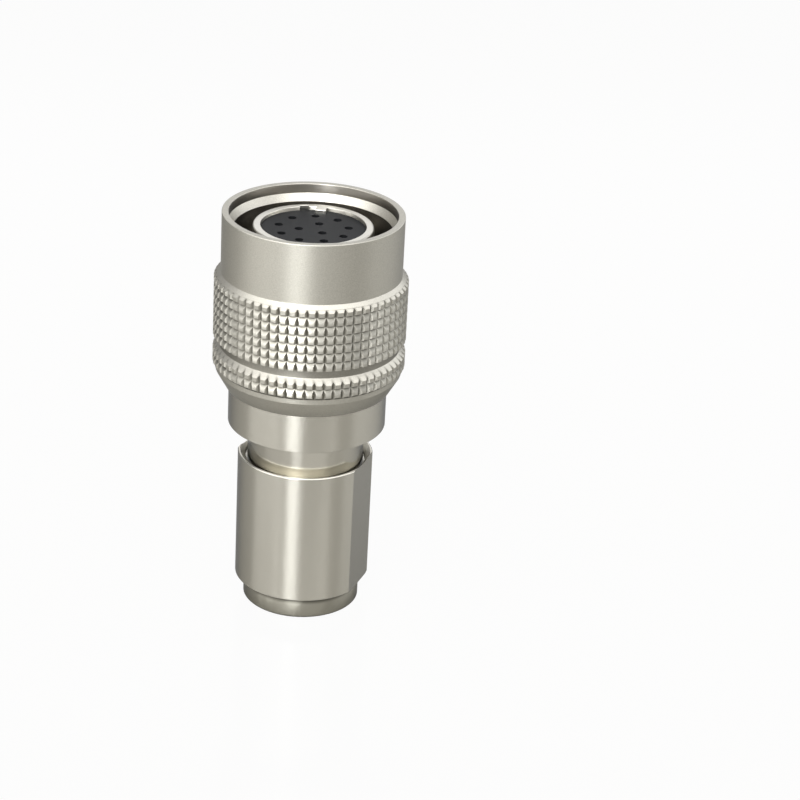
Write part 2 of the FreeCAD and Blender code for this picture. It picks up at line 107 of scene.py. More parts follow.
class SleeveSizes(PropertyGroup):
    front_radius: length("Front radius", "Radius of the smooth front", 7.0)
    mouth_radius: length("Mouth radius", "Radius of the step inside the mouth", 6.47)
    mouth_depth: length("Mouth depth", "Depth of the step inside the mouth", 0.75)
    lead_in: length("Lead-in", "Length of the cone below the mouth's step", 0.58)
    bore_radius: length("Bore radius", "Radius of the bore in front of the flange", 6.1)
    bore_depth: length("Bore depth", "Depth from the mouth to the flange", 6.72)
    flange_radius: length("Flange radius", "Radius of the hole through the flange", 5.36)
    flange_thickness: length("Flange thickness", "Thickness of the flange inside", 1.5)
    guide_radius: length("Guide radius", "Radius of the bore that runs on the barrel", 6.26)
    knurl_start: length("Knurl start", "Distance from the mouth to the knurl's chamfer", 4.74)
    knurl_chamfer: length("Knurl chamfer", "Length of the chamfer above the first teeth", 0.5)
    root_land: length("Root land", "Length of the root above the first teeth's flanks", 0.03)
    columns: IntProperty(name="Columns", description="Columns of teeth round the knurl", default=64)
    front_rings: IntProperty(name="Front rings", description="Rings of teeth above the groove", default=7)
    rear_rings: IntProperty(name="Rear rings", description="Rings of teeth below the groove", default=2)
    ring_pitch: length("Ring pitch", "Distance between rings of teeth", 0.733)
    ring_crest: length("Ring crest", "Height of a tooth's flat top", 0.3)
    ring_underside: length("Ring underside", "Height of the steep flank under a tooth", 0.1)
    tooth_depth: length("Tooth depth", "Depth of the knurl", 0.2)
    tooth_gap: length("Tooth gap", "Width between neighbouring teeth at their tops", 0.34)
    groove_depth: length("Grip groove depth", "Depth of the smooth groove between the bands", 0.43)
    groove_floor: length("Grip groove floor", "Length of the smooth groove's floor", 0.75)
    lip_drop: length("Lip drop", "How far the lip lies below the teeth", 0.23)
    lip_length: length("Lip length", "Length of the lip behind the teeth", 0.4)
    tail_radius: length("Tail radius", "Outer radius where the taper ends", 6.45)
    edge_break: length("Edge break", "Rounding of the turned edges", 0.06)
    lip_round: length("Lip rounding", "Rounding of the lip and the tail's edges", 0.16)
    tooth_break: length("Tooth break", "Rounding of the teeth", 0.035)


class BodySizes(PropertyGroup):
    neck_radius: length("Neck radius", "Radius of the neck below the barrel", 4.6)
    neck_top: length("Neck top", "Height of the barrel's lower face", 15.35)
    neck_foot: length("Neck foot", "Height where the neck meets the rear tube", 12.0)
    tube_radius: length("Tube radius", "Radius of the rear tube", 4.17)
    wire_radius: length("Wire space radius", "Radius of the space for the wires", 3.5)
    spring_seat: length("Spring seat", "Height of the shoulder under the spring", 20.88)
    land_radius: length("Land radius", "Radius of the land that guides the flange", 5.3)
    seat_radius: length("Seat radius", "Radius of the bore that holds the inner shell", 4.67)
    seat_foot: length("Seat foot", "Height of the floor under the inner shell", 17.0)
    edge_break: length("Edge break", "Rounding of the turned edges", 0.04)


class ShellSizes(PropertyGroup):
    bore_radius: length("Bore radius", "Radius of the bore", 4.2)
    pocket_radius: length("Pocket radius", "Radius of the pocket round the neck", 4.75)
    pocket_depth: length("Pocket depth", "Depth of the pocket", 0.7)
    pocket_chamfer: length("Pocket chamfer", "Chamfer of the pocket's mouth", 0.42)
    rim_chamfer: length("Rim chamfer", "Chamfer of the upper outer edge", 0.07)
    foot_chamfer: length("Foot chamfer", "Chamfer of the lower outer edge", 0.12)
    screw_height: length("Screw height", "Height of the set screw's axis", 4.4)
    screw_hole_radius: length("Screw hole radius", "Radius of the set screw's hole", 0.82)
    countersink: length("Countersink", "Depth of the hole's countersink", 0.25)
    edge_break: length("Edge break", "Rounding of the milled and turned edges", 0.04)


class SpringSizes(PropertyGroup):
    wire_radius: length("Wire radius", "Radius of the spring's wire", 0.15)
    coil_radius: length("Coil radius", "Radius of the coils at the middle of the wire", 5.78)
    turns: FloatProperty(name="Turns", description="Turns of wire, with the half turn laid flat at each end",
                         default=4.5)


class FinishColours(PropertyGroup):
    nickel: colour("Nickel", "Nickel plate over brass", "#CCC9C0")
    nickel_shade: colour("Nickel shade", "The darker grains of the turned pieces", "#C6C3B9")
    blasted_shade: colour("Blasted shade", "The darker grains of the blasted sleeve", "#A9A69C")
    # Painted shade: both bore colours are darkened to stand for the dim inside of the mouth.
    bore_nickel_shaded: colour("Bore nickel", "The sleeve's bore, darkened as painted shade", "#98948D")
    bore_shade: colour("Bore shade", "The darker grains of the sleeve's bore", "#928E87")
    bright_nickel: colour("Bright nickel", "Bright nickel on the inner pieces", "#D3D0C7")
    # Painted shade: both clamp colours are darkened to stand for the shade near the floor, under the plug.
    tail_nickel_shaded: colour("Tail nickel", "Nickel over the cable clamp, darkened as painted shade", "#ABA89D")
    tail_shade: colour("Tail shade", "The darker grains of the cable clamp", "#A7A499")
    grazing: colour("Grazing tint", "How the nickel darkens where it is seen at a low angle", "#A5A8B0")
    # Painted shade: a brown colour mixed into the knurl's roots, the grip groove and the clamp's ring under
    # the rear shell.
    painted_shade_colour: colour("Painted shade", "Brown painted shade in the knurl's roots and under the rear shell", "#3B382E")
    plastic: colour("Insulator", "Black moulded insulator", "#131416")
    gold: colour("Gold", "Thin gold over the contacts", "#C9A45A")
    steel: colour("Spring steel", "Plain drawn wire and screws", "#8F8E8B")
    rubber: colour("Gasket rubber", "Black rubber of the gasket", "#1C1C1C")
    floor: colour("Floor", "Pale floor", "#8F8D87")


class StageSettings(PropertyGroup):
    azimuth: FloatProperty(name="Azimuth", description="Camera's turn about the plug, from the front",
                           default=math.radians(19.065), subtype="ANGLE")
    elevation: FloatProperty(name="Elevation", description="Camera's height above the horizon",
                             default=math.radians(24.627), subtype="ANGLE")
    roll: FloatProperty(name="Roll", description="Camera's lean to the side",
                        default=math.radians(3.108), subtype="ANGLE")
    distance: length("Distance", "Distance from the camera to the point it aims at", 189.19)
    aim_x: length("Aim X", "The point that the camera aims at", 6.766)
    aim_y: length("Aim Y", "The point that the camera aims at", 2.769)
    aim_z: length("Aim Z", "The point that the camera aims at", 17.239)
    lens: FloatProperty(name="Lens", description="Focal length on a 36 mm sensor", default=108.0)
    floor_size: length("Floor size", "Width of the floor", 2000.0)
    floor_drop: length("Floor drop", "How far the floor lies under the plug's foot", 0.01)


def colours():
    """The colours of the finishes."""
    return bpy.context.scene.plug_colours


# Meshes

def rounded(outline, radius, steps=3, closed=False):
    """The same run of (radius, height) points with its corners turned into short arcs."""
    nearly_straight = math.radians(175)
    share_of_side = 0.4
    points = [Vector(point) for point in outline]
    count = len(points)
    result = []
    for i, corner in enumerate(points):
        if not closed and i in (0, count - 1):
            result.append(corner)
            continue
        before = points[i - 1] - corner
        after = points[(i + 1) % count] - corner
        turn = before.angle(after)
        if turn > nearly_straight:
            result.append(corner)
            continue
        longest_reach = share_of_side * min(before.length, after.length)
        reach = min(radius / math.tan(turn / 2), longest_reach)
        arc_radius = reach * math.tan(turn / 2)
        inward = (before.normalized() + after.normalized()).normalized()
        centre = corner + inward * (arc_radius / math.sin(turn / 2))
        start = corner + before.normalized() * reach - centre
        end = corner + after.normalized() * reach - centre
        for step in range(steps + 1):
            spoke = start.lerp(end, step / steps).normalized() * arc_radius
            result.append(centre + spoke)
    return [tuple(point) for point in result]


def ring_point(radius, angle, height):
    """A point at a radius, an angle about the axis and a height."""
    return Vector((radius * math.cos(angle), radius * math.sin(angle), height))


def finished_mesh(name, shape):
    """A smooth shaded mesh from a bmesh, with its sharp edges kept sharp."""
    bmesh.ops.recalc_face_normals(shape, faces=shape.faces)
    mesh = bpy.data.meshes.new(name)
    shape.to_mesh(mesh)
    shape.free()
    mesh.shade_smooth()
    mesh.set_sharp_from_angle(angle=SHARP_TURNED_EDGE)
    return mesh


def turned_mesh(name, outline, segments=192):
    """A turned piece from its closed half section."""
    shape = bmesh.new()
    angles = [math.tau * i / segments for i in range(segments)]
    rings = []
    for radius, height in outline:
        rings.append([shape.verts.new(ring_point(radius, angle, height)) for angle in angles])
    for ring, after in zip(rings, rings[1:] + rings[:1]):
        for i in range(segments):
            j = (i + 1) % segments
            shape.faces.new((ring[i], ring[j], after[j], after[i]))
    return finished_mesh(name, shape)


def knurl_levels(sizes, crest_top, rings):
    """Levels (radius, height, is a crest) of a stack of tooth rings, from the first crest down."""
    root = SLEEVE_HIGH.x - sizes.tooth_depth
    levels = []
    for i in range(rings):
        top = crest_top - i * sizes.ring_pitch
        if i:
            levels.append((root, top + sizes.ring_pitch - sizes.ring_crest - sizes.ring_underside, False))
        levels.append((SLEEVE_HIGH.x, top, True))
        levels.append((SLEEVE_HIGH.x, top - sizes.ring_crest, True))
    return levels


def plain_levels(outline, radius):
    """Levels of a stretch without teeth, with its corners rounded."""
    return [(place, height, False) for place, height in rounded(outline, radius)]


def sleeve_levels(sizes):
    """All levels of the sleeve's section as one closed run, with the knurl's crests marked."""
    top = SLEEVE_HIGH.z
    bottom = SLEEVE_LOW.z
    knurl_radius = SLEEVE_HIGH.x
    root = knurl_radius - sizes.tooth_depth
    knurl_top = top - sizes.knurl_start
    front_crest = knurl_top - sizes.knurl_chamfer
    front_band = knurl_levels(sizes, front_crest, sizes.front_rings)
    groove_top = front_band[-1][1]
    groove_radius = knurl_radius - sizes.groove_depth
    groove_bottom = groove_top - sizes.groove_floor
    rear_crest = groove_bottom - sizes.groove_depth
    rear_band = knurl_levels(sizes, rear_crest, sizes.rear_rings)
    lip_radius = knurl_radius - sizes.lip_drop
    lip_top = rear_band[-1][1] - sizes.lip_drop
    flange_top = top - sizes.bore_depth
    flange_bottom = flange_top - sizes.flange_thickness
    mouth_floor = top - sizes.mouth_depth
    front = [(sizes.flange_radius, flange_top), (sizes.bore_radius, flange_top)]
    front += [(sizes.bore_radius, mouth_floor - sizes.lead_in), (sizes.mouth_radius, mouth_floor)]
    front += [(sizes.mouth_radius, top), (sizes.front_radius, top), (sizes.front_radius, knurl_top)]
    front.append((root, front_crest + sizes.tooth_depth + sizes.root_land))
    front.append((root, front_crest + sizes.tooth_depth))
    groove = [(root, groove_top), (groove_radius, groove_top), (groove_radius, groove_bottom)]
    groove.append((root, rear_crest + sizes.tooth_depth))
    tail = [(root, rear_band[-1][1] - sizes.tooth_depth), (lip_radius, lip_top)]
    tail += [(lip_radius, lip_top - sizes.lip_length), (sizes.tail_radius, bottom)]
    tail += [(sizes.guide_radius, bottom), (sizes.guide_radius, flange_bottom)]
    tail.append((sizes.flange_radius, flange_bottom))
    levels = plain_levels(front, sizes.edge_break) + front_band
    levels += plain_levels(groove, sizes.edge_break) + rear_band
    return levels + plain_levels(tail, sizes.lip_round)


def sleeve_row(shape, sizes, level):
    """One level's vertices, column by column, with each column narrower where it is a crest."""
    radius, height, crest = level
    half_step = math.pi / sizes.columns
    half = half_step
    count = ACROSS
    if crest:
        half = half_step - sizes.tooth_gap / 2 / SLEEVE_HIGH.x
        count = ACROSS + 1
    row = []
    for column in range(sizes.columns):
        middle = 2 * half_step * column
        places = [middle + half * (2 * i / ACROSS - 1) for i in range(count)]
        row.append([shape.verts.new(ring_point(radius, place, height)) for place in places])
    if not crest:
        for column in range(sizes.columns):
            row[column].append(row[(column + 1) % sizes.columns][0])
    return row


def painted_shade_of_level(sizes, levels, index):
    """The share of painted shade at a level, in the middle of a column and between the columns."""
    radius = levels[index][0]
    below_crest = levels[index - 1][2]
    above_crest = levels[(index + 1) % len(levels)][2]
    if abs(radius - SLEEVE_HIGH.x + sizes.groove_depth) < NEAR:
        return GROOVE_PAINTED_SHADE, GROOVE_PAINTED_SHADE
    if abs(radius - SLEEVE_HIGH.x + sizes.tooth_depth) < NEAR and (below_crest or above_crest):
        return ROOT_PAINTED_SHADE * below_crest, COLUMN_PAINTED_SHADE
    return 0.0, 0.0


def close_teeth(shape, rows, levels):
    """Adds the side walls of each tooth."""
    for index in range(1, len(levels) - 2):
        if levels[index][2] and levels[index + 1][2]:
            for columns in zip(*rows[index - 1:index + 3]):
                for end in (0, -1):
                    shape.faces.new([column[end] for column in columns])


def sleeve_mesh(sizes):
    """The sleeve: rings of vertices joined level by level, with each tooth narrower at its crest."""
    clear_turn = math.radians(20)
    levels = sleeve_levels(sizes)
    shape = bmesh.new()
    weight = shape.edges.layers.float.new("bevel_weight_edge")
    # Each vertex keeps its share of painted shade for the knurl's roots and the grip groove.
    painted_shade = shape.verts.layers.float.new("knurl_painted_shade_share")
    rows = [sleeve_row(shape, sizes, level) for level in levels]
    for index, row in enumerate(rows):
        middle_shade, end_shade = painted_shade_of_level(sizes, levels, index)
        for column in row:
            for vertex in column:
                vertex[painted_shade] = middle_shade
            column[0][painted_shade] = end_shade
            column[-1][painted_shade] = end_shade
    for upper, lower in zip(rows, rows[1:] + rows[:1]):
        for left, right in zip(upper, lower):
            for i in range(ACROSS):
                shape.faces.new((left[i], left[i + 1], right[i + 1], right[i]))
    close_teeth(shape, rows, levels)
    crests = [row for row, level in zip(rows, levels) if level[2]]
    tops = {vertex for row in crests for column in row for vertex in column}
    for edge in shape.edges:
        if all(vertex in tops for vertex in edge.verts) and edge.calc_face_angle(0) > clear_turn:
            edge[weight] = 1.0
    return finished_mesh("sleeve_with_knurl", shape)


def body_outline(sizes):
    """Half section of the plug body."""
    outline = [(sizes.wire_radius, BODY_LOW.z), (sizes.tube_radius, BODY_LOW.z)]
    outline += [(sizes.tube_radius, sizes.neck_foot), (sizes.neck_radius, sizes.neck_foot)]
    outline += [(sizes.neck_radius, sizes.neck_top), (BODY_HIGH.x, sizes.neck_top)]
    outline += [(BODY_HIGH.x, sizes.spring_seat), (sizes.land_radius, sizes.spring_seat)]
    outline += [(sizes.land_radius, BODY_HIGH.z), (sizes.seat_radius, BODY_HIGH.z)]
    outline += [(sizes.seat_radius, sizes.seat_foot), (sizes.wire_radius, sizes.seat_foot)]
    return rounded(outline, sizes.edge_break, closed=True)


def shell_outline(sizes):
    """Half section of the rear shell."""
    pocket_foot = SHELL_HIGH.z - sizes.pocket_depth
    outer = SHELL_HIGH.y
    outline = [(sizes.bore_radius, SHELL_LOW.z), (outer - sizes.foot_chamfer, SHELL_LOW.z)]
    outline += [(outer, SHELL_LOW.z + sizes.foot_chamfer), (outer, SHELL_HIGH.z - sizes.rim_chamfer)]
    outline += [(outer - sizes.rim_chamfer, SHELL_HIGH.z)]
    outline += [(sizes.pocket_radius + sizes.pocket_chamfer, SHELL_HIGH.z)]
    outline += [(sizes.pocket_radius, SHELL_HIGH.z - sizes.pocket_chamfer)]
    outline += [(sizes.pocket_radius, pocket_foot), (sizes.bore_radius, pocket_foot)]
    return rounded(outline, sizes.edge_break, closed=True)


def cut_flats(mesh, half_across):
    """Cuts the two wrench flats off a turned mesh."""
    shape = bmesh.new()
    shape.from_mesh(mesh)
    for side in (1, -1):
        whole = shape.verts[:] + shape.edges[:] + shape.faces[:]
        cut = bmesh.ops.bisect_plane(shape, geom=whole, plane_co=(side * half_across, 0, 0),
                                     plane_no=(side, 0, 0), clear_outer=True)
        rim = [item for item in cut["geom_cut"] if isinstance(item, bmesh.types.BMEdge)]
        bmesh.ops.holes_fill(shape, edges=rim)
    shape.to_mesh(mesh)
    shape.free()
    mesh.shade_smooth()
    mesh.set_sharp_from_angle(angle=SHARP_CUT_EDGE)
    return mesh


def screw_hole_cutter(sizes):
    """A closed tool for the set screw's hole and countersink, on the side between the flats."""
    reach = SHELL_HIGH.y + sizes.countersink
    inner = SHELL_HIGH.y - sizes.countersink
    outline = [(0.0, 0.0), (sizes.screw_hole_radius, 0.0), (sizes.screw_hole_radius, inner)]
    outline += [(sizes.screw_hole_radius + 2 * sizes.countersink, reach), (0.0, reach)]
    mesh = turned_mesh("screw_hole_cutter", outline, segments=64)
    turn = Matrix.Rotation(-math.pi / 2, 3, "X")
    shape = bmesh.new()
    shape.from_mesh(mesh)
    bmesh.ops.remove_doubles(shape, verts=shape.verts, dist=NEAR)
    bmesh.ops.rotate(shape, verts=shape.verts, cent=(0, 0, 0), matrix=turn)
    bmesh.ops.translate(shape, verts=shape.verts, vec=(0, 0, sizes.screw_height))
    bmesh.ops.recalc_face_normals(shape, faces=shape.faces)
    shape.to_mesh(mesh)
    shape.free()
    return bpy.data.objects.new("screw_hole_cutter", mesh)


def cut_with(piece, cutter):
    """Subtracts a closed tool from a piece and throws the tool away."""
    bpy.context.scene.collection.objects.link(cutter)
    cut = piece.modifiers.new("hole", "BOOLEAN")
    cut.object = cutter
    cut.solver = "EXACT"
    bpy.context.view_layer.update()
    evaluated = piece.evaluated_get(bpy.context.evaluated_depsgraph_get())
    mesh = bpy.data.meshes.new_from_object(evaluated)
    piece.modifiers.remove(cut)
    mesh.set_sharp_from_angle(angle=SHARP_CUT_EDGE)
    piece.data = mesh
    bpy.data.objects.remove(cutter)


def spring_mesh(sizes):
    """The return spring: round wire wound in a coil, with half a turn laid flat at each end."""
    steps_per_turn = 32
    flat_steps = steps_per_turn // 2
    steps = round(sizes.turns * steps_per_turn)
    sides = 8
    bottom = SPRING_LOW.z + sizes.wire_radius
    rise = SPRING_HIGH.z - sizes.wire_radius - bottom
    shape = bmesh.new()
    rings = []
    for i in range(steps + 1):
        climb = min(max(i - flat_steps, 0) / (steps - 2 * flat_steps), 1.0)
        angle = math.tau * i / steps_per_turn
        ring = []
        for side in range(sides):
            turn = math.tau * side / sides
            radius = sizes.coil_radius + sizes.wire_radius * math.cos(turn)
            height = bottom + rise * climb + sizes.wire_radius * math.sin(turn)
            ring.append(shape.verts.new(ring_point(radius, angle, height)))
        rings.append(ring)
    for ring, after in zip(rings, rings[1:]):
        for side in range(sides):
            shape.faces.new((ring[side - 1], ring[side], after[side], after[side - 1]))
    shape.faces.new(rings[0])
    shape.faces.new(rings[-1])
    return finished_mesh("round_wire_spring", shape)


# Finishes

def add_node(tree, kind, settings=None, values=None, links=None):
    """Adds a shader node with its settings, its socket values and its incoming links."""
    node = tree.nodes.new(kind)
    for name, value in (settings or {}).items():
        setattr(node, name, value)
    for name, value in (values or {}).items():
        node.inputs[name].default_value = value
    for name, source in (links or {}).items():
        tree.links.new(source, node.inputs[name])
    return node


def new_material(name):
    """An empty node material and its output."""
    material = bpy.data.materials.new(name)
    material.use_nodes = True
    material.node_tree.nodes.clear()
    output = add_node(material.node_tree, "ShaderNodeOutputMaterial")
    return material, material.node_tree, output


def with_alpha(rgb):
    """The same colour with full opacity."""
    return (rgb[0], rgb[1], rgb[2], 1.0)


def shaded(rgb, share):
    """The same colour, darker or lighter."""
    return [c * share for c in rgb]


def knurl_painted_shade(tree, place):
    """The share of painted shade as it is marked on the sleeve's vertices."""
    return add_node(tree, "ShaderNodeAttribute", {"attribute_name": "knurl_painted_shade_share"}).outputs["Fac"]


def clamp_painted_shade(tree, place):
    """The share of painted shade on the clamp's ring: none at its round foot, full under the rear shell."""
    heights = {"From Min": 1.15 * MM, "From Max": 1.5 * MM}
    height = add_node(tree, "ShaderNodeSeparateXYZ", links={"Vector": place}).outputs["Z"]
    share = add_node(tree, "ShaderNodeMapRange", values=heights, links={"Value": height})
    return share.outputs["Result"]


def metal(name, light, dark, roughness, relief=0.0, painted_shade=None):
    """A metal with fine light and dark grains, a little smoother and rougher from grain to grain."""
    roughness_spread = 0.03
    painted_shade_cover = 0.9
    material, tree, output = new_material(name)
    place = add_node(tree, "ShaderNodeTexCoord").outputs["Object"]
    grain = add_node(tree, "ShaderNodeTexNoise", {"noise_dimensions": "3D"},
                     {"Scale": 1 / METAL_GRAIN, "Detail": 1.0, "Roughness": 0.5},
                     {"Vector": place}).outputs["Fac"]
    shade = add_node(tree, "ShaderNodeMix", {"data_type": "RGBA"},
                     {"A": with_alpha(dark), "B": with_alpha(light)},
                     {"Factor": grain}).outputs["Result"]
    # Where a share of painted shade is given, the brown painted shade colour is mixed into the grains'
    # colour.
    if painted_shade:
        amount = add_node(tree, "ShaderNodeMath", {"operation": "MULTIPLY"}, {1: painted_shade_cover},
                          {0: painted_shade(tree, place)}).outputs["Value"]
        shade = add_node(tree, "ShaderNodeMix", {"data_type": "RGBA"},
                         {"B": with_alpha(colours().painted_shade_colour)},
                         {"Factor": amount, "A": shade}).outputs["Result"]
    spread = {"From Min": 0.3, "From Max": 0.7}
    spread["To Min"] = roughness * (1 + roughness_spread)
    spread["To Max"] = roughness * (1 - roughness_spread)
    gloss = add_node(tree, "ShaderNodeMapRange", values=spread, links={"Value": grain})
    links = {"Base Color": shade, "Roughness": gloss.outputs["Result"]}
    if relief:
        bump = add_node(tree, "ShaderNodeBump", {}, {"Strength": 0.5, "Distance": relief}, {"Height": grain})
        links["Normal"] = bump.outputs["Normal"]
    shader = add_node(tree, "ShaderNodeBsdfPrincipled", {},
                      {"Metallic": 1.0, "Specular Tint": with_alpha(colours().grazing)}, links)
    tree.links.new(shader.outputs["BSDF"], output.inputs["Surface"])
    return material


def moulded(name, base, roughness):
    """A moulded black material: matt, with a faint grain that catches the light."""
    material, tree, output = new_material(name)
    place = add_node(tree, "ShaderNodeTexCoord").outputs["Object"]
    grain = add_node(tree, "ShaderNodeTexNoise", {"noise_dimensions": "3D"},
                     {"Scale": 1 / MOULD_GRAIN, "Detail": 4.0}, {"Vector": place}).outputs["Fac"]
    tint = add_node(tree, "ShaderNodeMix", {"data_type": "RGBA"},
                    {"A": with_alpha(shaded(base, 0.75)), "B": with_alpha(shaded(base, 1.3))},
                    {"Factor": grain})
    bump = add_node(tree, "ShaderNodeBump", {}, {"Strength": 0.3, "Distance": 0.006 * MM}, {"Height": grain})
    shader = add_node(tree, "ShaderNodeBsdfPrincipled", {},
                      {"Roughness": roughness, "IOR": 1.5, "Specular IOR Level": 0.14},
                      {"Base Color": tint.outputs["Result"], "Normal": bump.outputs["Normal"]})
    tree.links.new(shader.outputs["BSDF"], output.inputs["Surface"])
    return material


def blasted_nickel_sleeve():
    """Nickel over brass that was blasted with fine beads."""
    # The pits scatter the light, so highlights are broad and soft. Painted shade darkens the knurl's roots
    # and the grip groove.
    return metal("blasted_nickel_sleeve", colours().nickel, colours().blasted_shade, roughness=0.44,
                 relief=0.003 * MM, painted_shade=knurl_painted_shade)


def turned_nickel_bore():
    """Nickel in the bore of the sleeve, which was turned and not blasted."""
    # Its darker colour is painted shade for the dim inside of the mouth.
    return metal("turned_nickel_bore", colours().bore_nickel_shaded, colours().bore_shade, roughness=0.3)


def turned_nickel_body():
    """Nickel over the turned barrel."""
    # A fine tool mark is left, so lights show as upright stripes with soft borders.
    return metal("turned_nickel_body", colours().nickel, colours().nickel_shade, roughness=0.255)


def polished_nickel_neck():
    """Nickel over the polished neck."""
    # It mirrors the edges above and below it more sharply than the barrel would.
    return metal("polished_nickel_neck", colours().nickel, colours().nickel_shade, roughness=0.15)


def turned_nickel_shell():
    """Nickel over the turned and milled rear shell."""
    # It is as glossy as the barrel, and each wrench flat has one even tone.
    return metal("turned_nickel_shell", colours().nickel, colours().nickel_shade, roughness=0.255)


def turned_nickel_countersink():
    """Nickel in the rear shell's pocket and on the chamfer round it."""
    # The boring tool leaves it rougher than the outside, so it catches the light all round.
    return metal("turned_nickel_countersink", colours().bright_nickel, colours().nickel, roughness=0.4)


def turned_nickel_clamp():
    """Nickel over the turned ring of the cable clamp."""
    # It is duller than the shell. Its darker colour is painted shade, and a band of painted shade lies where
    # the two meet.
    return metal("turned_nickel_clamp", colours().tail_nickel_shaded, colours().tail_shade, roughness=0.36,
                 painted_shade=clamp_painted_shade)


def turned_nickel_inner_shell():
    """Bright nickel over the turned inner shell and the insulator nut."""
    # The plate is fresh and pale, so the rounded rim shines almost white.
    return metal("turned_nickel_inner_shell", colours().bright_nickel, colours().nickel, roughness=0.3)


def bright_nickel_springs():
    """Bright nickel over rolled strip, for the latch ring and the washer."""
    # Rolled strip is smooth, so it glints where it bends.
    return metal("bright_nickel_springs", colours().bright_nickel, colours().nickel, roughness=0.2)


def drawn_steel(name):
    """Bare steel, drawn through a die."""
    # It is greyer than nickel, with paler grains where it was rubbed, and glints in thin lines.
    return metal(name, colours().steel, colours().nickel_shade, roughness=0.25)


def gold_plated_brass():
    """Thin gold over turned brass contacts."""
    # It is warm and glossy, and so thin that the brass shows through as darker grains.
    return metal("gold_plated_brass", colours().gold, shaded(colours().gold, 0.8), roughness=0.2)


def moulded_insulator():
    """Black plastic filled with glass fibre, moulded in a spark-eroded tool."""
    # The fibres and the tool's grain leave it matt and dark grey, with no clear highlight.
    return moulded("moulded_insulator", colours().plastic, roughness=0.6)


def gasket_rubber():
    """Moulded black rubber."""
    # It is duller than the plastic, with a faint bloom.
    return moulded("gasket_rubber", colours().rubber, roughness=0.7)


# Pieces

def add_piece(name, mesh, body, material, stands_for):
    """Links a piece to the scene, on its body and in place of its CAD node."""
    piece = bpy.data.objects.new(name, mesh)
    bpy.context.scene.collection.objects.link(piece)
    piece.data.materials.append(material)
    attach(piece, body)
    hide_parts(stands_for)
    return piece


def keep_faces_flat(piece):
    """Lets the large faces set the shading, so that only the rounded edges bend it."""
    weigh = piece.modifiers.new("flat_faces", "WEIGHTED_NORMAL")
    weigh.mode = "FACE_AREA"
    weigh.weight = 100
    weigh.keep_sharp = True


def dress_node(name, material, edge=0.0):
    """Gives a CAD node its finish, and rounds its edges where a width is given."""
    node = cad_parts[name]
    for slot in node.material_slots:
        slot.material = material
    if edge:
        weld = node.modifiers.new("joined_corners", "WELD")
        weld.merge_threshold = NEAR / 2
        soften = node.modifiers.new("soft_edges", "BEVEL")
        soften.limit_method = "ANGLE"
        soften.angle_limit = math.radians(30)
        soften.width = edge
        soften.segments = 2
        soften.harden_normals = True


class PLUG_OT_coupling_sleeve(Operator):
    """Make the sliding sleeve with its knurl"""
    bl_idname = "plug.coupling_sleeve"
    bl_label = "Coupling sleeve"

    def execute(self, context):
        sizes = context.scene.plug_sleeve
        piece = add_piece("sleeve_with_knurl", sleeve_mesh(sizes), "sleeve",
                          blasted_nickel_sleeve(), "coupling_sleeve")
        # Inner upright faces take the bore finish, whose darker colour is painted shade.
        piece.data.materials.append(turned_nickel_bore())
        largest_lean = 0.3
        bore_limit = sizes.mouth_radius + sizes.edge_break / 4
        for face in piece.data.polygons:
            if abs(face.normal.z) < largest_lean and face.center.xy.length < bore_limit:
                face.material_index = 1
        soften = piece.modifiers.new("tooth_edges", "BEVEL")
        soften.limit_method = "WEIGHT"
        soften.width = sizes.tooth_break
        soften.segments = 2
        soften.use_clamp_overlap = False
        keep_faces_flat(piece)
        return {"FINISHED"}


class PLUG_OT_plug_body(Operator):
    """Make the barrel and neck"""
    bl_idname = "plug.plug_body"
    bl_label = "Plug body"

    def execute(self, context):
        sizes = context.scene.plug_body
        mesh = turned_mesh("barrel_and_neck", body_outline(sizes))
        piece = add_piece("barrel_and_neck", mesh, "plug", turned_nickel_body(), "plug_body")
        piece.data.materials.append(polished_nickel_neck())
        for face in piece.data.polygons:
            between = sizes.neck_foot < face.center.z < sizes.neck_top
            if between and face.center.xy.length < sizes.neck_radius:
                face.material_index = 1
        keep_faces_flat(piece)
        return {"FINISHED"}


class PLUG_OT_rear_shell(Operator):
    """Make the rear shell with its wrench flats"""
    bl_idname = "plug.rear_shell"
    bl_label = "Rear shell"

    def execute(self, context):
        sizes = context.scene.plug_shell
        tube = turned_mesh("rear_shell_with_flats", shell_outline(sizes), segments=256)
        mesh = cut_flats(tube, SHELL_HIGH.x)
        piece = add_piece("rear_shell_with_flats", mesh, "plug", turned_nickel_shell(),
                          "rear_shell")
        cut_with(piece, screw_hole_cutter(sizes))
        piece.data.materials.append(turned_nickel_countersink())
        pocket_foot = SHELL_HIGH.z - sizes.pocket_depth
        rim_radius = SHELL_HIGH.y - sizes.rim_chamfer - sizes.edge_break
        for face in piece.data.polygons:
            if face.center.z > pocket_foot and face.center.xy.length < rim_radius:
                face.material_index = 1
        keep_faces_flat(piece)
        return {"FINISHED"}


class PLUG_OT_cable_clamp(Operator):
    """Finish the ring at the cable end"""
    bl_idname = "plug.cable_clamp"
    bl_label = "Cable clamp"

    def execute(self, context):
        dress_node("cable_clamp", turned_nickel_clamp(), edge=0.1 * MM)
        return {"FINISHED"}


class PLUG_OT_return_spring(Operator):
    """Make the return spring as a fixed coil; the real one shortens as the sleeve slides back"""
    bl_idname = "plug.return_spring"
    bl_label = "Return spring"

    def execute(self, context):
        piece = add_piece("round_wire_spring", spring_mesh(context.scene.plug_spring), "plug",
                          drawn_steel("drawn_steel_wire"), "return_spring")
        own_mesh(piece)
        return {"FINISHED"}


